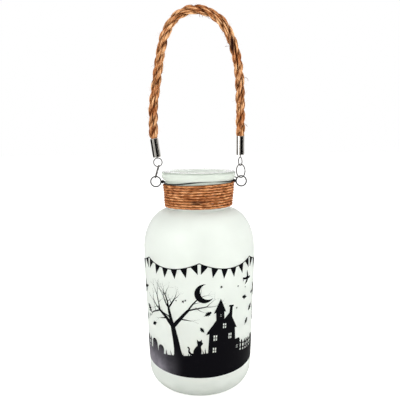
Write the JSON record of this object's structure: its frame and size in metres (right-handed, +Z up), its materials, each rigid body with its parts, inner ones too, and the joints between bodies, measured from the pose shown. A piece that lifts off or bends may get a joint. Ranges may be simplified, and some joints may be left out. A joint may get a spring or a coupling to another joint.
{
  "type": "mason jar lantern",
  "caption": "Frosted glass jar lantern with a twine-wrapped neck, a wire bail with jump rings and ferrules, a rope carrying handle, and a battery tea light inside.",
  "frame": {"origin": "centre of the jar's foot, on the surface it stands on", "axes": "+Z up the jar, +X to the right of the printed front, -Y towards the front, so the rope handle's swing line runs along X"},
  "size_m": [0.1, 0.1, 0.3387],
  "materials": {
    "frosted_glass": "acid-etched white frosted glass",
    "jute_twine": "two-ply jute twine, tightly wound",
    "steel_wire": "dark annealed steel wire",
    "nickel_wire": "nickel-plated steel wire",
    "nickel_plate": "bright nickel plate",
    "jute_rope": "three-strand jute rope",
    "candle_plastic": "moulded ivory plastic",
    "flame_plastic": "translucent moulded flame",
    "led_resin": "clear cast epoxy",
    "holder_plastic": "white moulded plastic",
    "cell_steel": "stainless steel can",
    "contact_brass": "stamped spring brass",
    "switch_plastic": "black moulded plastic",
    "knob_plastic": "black moulded plastic",
    "wire_sleeve": "red wire sleeve"
  },
  "bodies": {
    "jar": {"glass_jar": "frosted_glass", "neck_twine": "jute_twine", "neck_wire": "steel_wire"},
    "left_link": {"left_jump_ring": "nickel_wire"},
    "handle": {"rope_handle": "jute_rope", "left_ferrule": "nickel_plate", "right_ferrule": "nickel_plate", "left_eye_pin": "nickel_wire", "right_eye_pin": "nickel_wire"},
    "right_link": {"right_jump_ring": "nickel_wire"},
    "candle": {"candle_shell": "candle_plastic", "candle_flame": "flame_plastic", "flame_led": "led_resin", "base_plate": "candle_plastic", "cell_holder": "holder_plastic", "coin_cell": "cell_steel", "spring_contact": "contact_brass", "side_contact": "contact_brass", "slide_switch": "switch_plastic", "switch_wire": "wire_sleeve"},
    "knob": {"switch_knob": "knob_plastic"},
    "cap": {"battery_cap": "candle_plastic"}
  },
  "joints": [
    {"name": "ring_swing", "type": "hinge", "parent": "jar", "child": "left_link", "pos_m": [0, 0, 0.19347], "axis": [1, 0, 0], "range_deg": [-95, 95]},
    {"name": "handle_fold", "type": "hinge", "parent": "left_link", "child": "handle", "pos_m": [0, 0, 0.20236], "axis": [1, 0, 0], "range_deg": [-30, 30]},
    {"name": "right_ring_fold", "type": "hinge", "parent": "handle", "child": "right_link", "pos_m": [0, 0, 0.20242], "axis": [1, 0, 0], "range_deg": [-30, 30]},
    {"name": "candle_lift", "type": "slide", "parent": "jar", "child": "candle", "axis": [0, 0, 1], "range_m": [0, 0.2]},
    {"name": "switch_slide", "type": "slide", "parent": "candle", "child": "knob", "axis": [0, 1, 0], "range_m": [0, 0.002]},
    {"name": "cap_turn", "type": "hinge", "parent": "candle", "child": "cap", "pos_m": [-0.004, 0, 0.006], "axis": [0, 0, 1], "range_deg": [0, 35]}
  ],
  "couplings": [
    {"joint": "right_ring_fold", "follows": "handle_fold", "ratio": -1}
  ]
}
